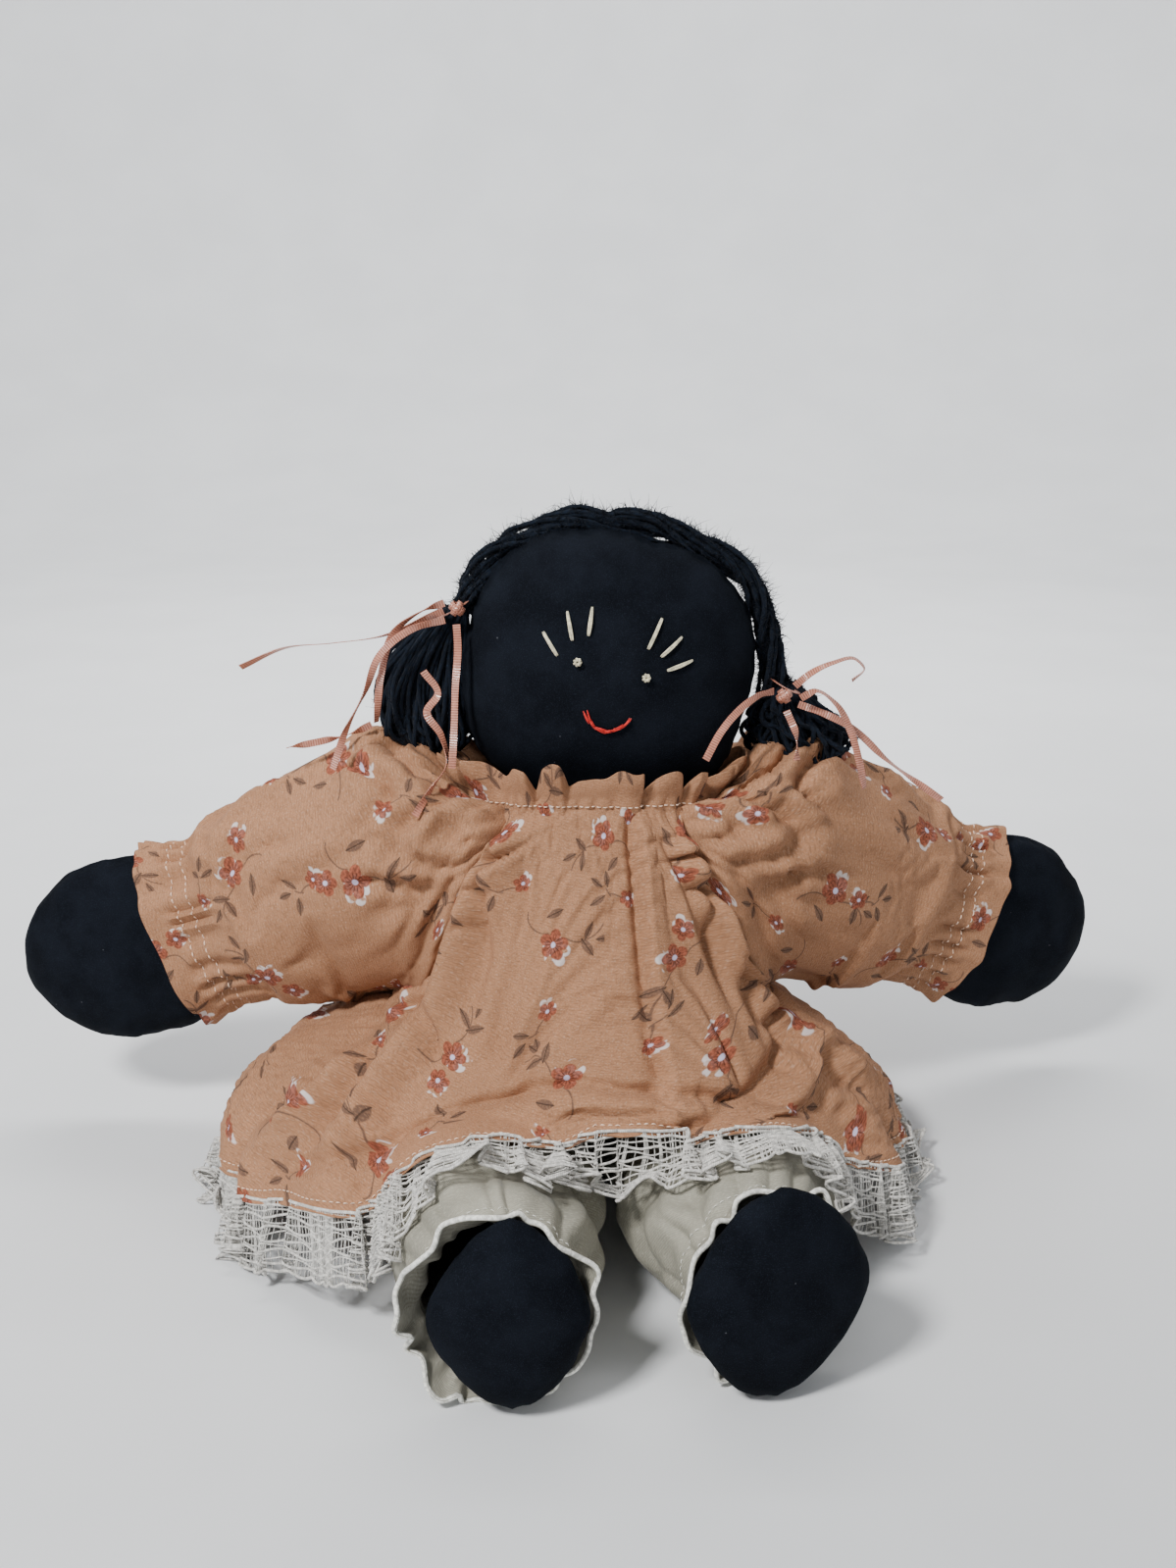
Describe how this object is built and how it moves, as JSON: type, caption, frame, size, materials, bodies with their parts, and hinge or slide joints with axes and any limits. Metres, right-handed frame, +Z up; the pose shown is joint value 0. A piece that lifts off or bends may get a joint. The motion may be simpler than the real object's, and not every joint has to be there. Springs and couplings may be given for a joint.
{
  "type": "rag doll",
  "caption": "Seated stuffed cloth rag doll with yarn hair, ribbon bows, floral dress with gathered sleeves and lace hem, and pantaloons; head, arms and legs move.",
  "frame": {"origin": "on the ground under the middle of the doll's flat seat", "axes": "+Z up; the doll faces -Y; +X is the doll's own left"},
  "size_m": [0.4896, 0.2876, 0.2835],
  "materials": {
    "black_cloth": "matt black cotton, slightly napped",
    "calico": "peach plain-weave cotton with a small floral print",
    "lace": "white open lace",
    "white_cotton": "off-white twill with a slight sheen",
    "yarn": "fuzzy blue-black yarn",
    "satin_ribbon": "rose satin",
    "cream_thread": "cream stranded cotton",
    "red_thread": "red stranded cotton",
    "elastic": "flat white elastic"
  },
  "bodies": {
    "torso": {"torso": "black_cloth", "dress_front": "calico", "dress_back": "calico", "left_sleeve_cap": "calico", "right_sleeve_cap": "calico", "neck_ruffle": "calico", "neck_elastic": "elastic", "hem_lace_front": "lace", "hem_lace_back": "lace", "pantaloons_seat": "white_cotton", "waist_elastic": "elastic"},
    "neck": {"neck": "black_cloth"},
    "head": {"head": "black_cloth", "yarn_band": "yarn", "left_eye": "cream_thread", "right_eye": "cream_thread", "left_lash_1": "cream_thread", "left_lash_2": "cream_thread", "left_lash_3": "cream_thread", "right_lash_1": "cream_thread", "right_lash_2": "cream_thread", "right_lash_3": "cream_thread", "mouth_stitch": "red_thread"},
    "left_pigtail": {"left_pigtail": "yarn", "left_ribbon_knot": "satin_ribbon", "left_ribbon_looped_tail": "satin_ribbon", "left_ribbon_hooked_tail": "satin_ribbon", "left_ribbon_long_tail": "satin_ribbon", "left_ribbon_face_tail": "satin_ribbon", "left_ribbon_short_tail": "satin_ribbon"},
    "left_shoulder_flap": {"left_shoulder_flap": "black_cloth"},
    "left_arm": {"left_arm": "black_cloth", "left_sleeve": "calico", "left_wrist_elastic": "elastic", "left_cuff_ruffle": "calico"},
    "left_hip_flap": {"left_hip_flap": "black_cloth"},
    "left_leg": {"left_leg": "black_cloth", "left_pantaloon_leg": "white_cotton", "left_ankle_elastic": "elastic", "left_ankle_ruffle": "white_cotton"},
    "right_pigtail": {"right_pigtail": "yarn", "right_ribbon_knot": "satin_ribbon", "right_ribbon_long_tail": "satin_ribbon", "right_ribbon_curled_tail": "satin_ribbon", "right_ribbon_outer_tail": "satin_ribbon", "right_ribbon_straight_tail": "satin_ribbon", "right_ribbon_wavy_tail": "satin_ribbon", "right_ribbon_back_tail": "satin_ribbon"},
    "right_shoulder_flap": {"right_shoulder_flap": "black_cloth"},
    "right_arm": {"right_arm": "black_cloth", "right_sleeve": "calico", "right_wrist_elastic": "elastic", "right_cuff_ruffle": "calico"},
    "right_hip_flap": {"right_hip_flap": "black_cloth"},
    "right_leg": {"right_leg": "black_cloth", "right_pantaloon_leg": "white_cotton", "right_ankle_elastic": "elastic", "right_ankle_ruffle": "white_cotton"}
  },
  "joints": [
    {"name": "neck_nod", "type": "hinge", "parent": "torso", "child": "neck", "pos_m": [0, 0.002, 0.148], "axis": [1, 0, 0], "range_deg": [-15, 14], "deforming": ["neck_ruffle", "left_pigtail", "right_pigtail"]},
    {"name": "head_tilt", "type": "hinge", "parent": "neck", "child": "head", "pos_m": [-0.004, 0.001, 0.1566], "axis": [0, 1, 0], "range_deg": [-15, 5], "deforming": ["neck_ruffle", "left_pigtail", "right_pigtail"]},
    {"name": "left_arm_swing", "type": "hinge", "parent": "torso", "child": "left_shoulder_flap", "pos_m": [0.0502, 0.004, 0.129], "axis": [0, 0, -1], "range_deg": [-5, 50], "deforming": ["left_sleeve_cap", "left_sleeve", "dress_front", "dress_back"]},
    {"name": "left_arm_raise", "type": "hinge", "parent": "left_shoulder_flap", "child": "left_arm", "pos_m": [0.07592, 0.01455, 0.129], "axis": [0.3795, -0.9252, 0], "range_deg": [-8, 32], "deforming": ["left_sleeve_cap", "left_sleeve", "dress_front", "dress_back", "hem_lace_back"]},
    {"name": "left_leg_fold", "type": "hinge", "parent": "torso", "child": "left_hip_flap", "pos_m": [0.03, -0.0364, 0.022], "axis": [1, 0, 0], "range_deg": [-25, 75], "deforming": ["pantaloons_seat", "left_pantaloon_leg", "dress_front", "hem_lace_front"]},
    {"name": "left_leg_splay", "type": "hinge", "parent": "left_hip_flap", "child": "left_leg", "pos_m": [0.03, -0.0557, 0.022], "axis": [0, 0, 1], "range_deg": [-8, 14], "deforming": ["left_pantaloon_leg", "hem_lace_front", "dress_front"]},
    {"name": "left_pigtail_swing", "type": "hinge", "parent": "head", "child": "left_pigtail", "pos_m": [0.077, 0.005, 0.2085], "axis": [0, -1, 0], "range_deg": [0, 25]},
    {"name": "right_arm_swing", "type": "hinge", "parent": "torso", "child": "right_shoulder_flap", "pos_m": [-0.0502, 0.004, 0.129], "axis": [0, 0, 1], "range_deg": [-22, 33], "deforming": ["right_sleeve_cap", "right_sleeve", "dress_front", "dress_back"]},
    {"name": "right_arm_raise", "type": "hinge", "parent": "right_shoulder_flap", "child": "right_arm", "pos_m": [-0.07786, 0.00676, 0.129], "axis": [0.0993, 0.9951, 0], "range_deg": [-9, 30], "deforming": ["right_sleeve_cap", "right_sleeve", "dress_front", "dress_back", "hem_lace_back"]},
    {"name": "right_leg_fold", "type": "hinge", "parent": "torso", "child": "right_hip_flap", "pos_m": [-0.03, -0.0364, 0.022], "axis": [1, 0, 0], "range_deg": [-25, 75], "deforming": ["pantaloons_seat", "right_pantaloon_leg", "dress_front", "hem_lace_front"]},
    {"name": "right_leg_splay", "type": "hinge", "parent": "right_hip_flap", "child": "right_leg", "pos_m": [-0.03, -0.0557, 0.022], "axis": [0, 0, -1], "range_deg": [-1, 26], "deforming": ["right_pantaloon_leg", "hem_lace_front", "dress_front"]},
    {"name": "right_pigtail_swing", "type": "hinge", "parent": "head", "child": "right_pigtail", "pos_m": [-0.056, 0.004, 0.24], "axis": [0, 1, 0], "range_deg": [0, 25]}
  ]
}
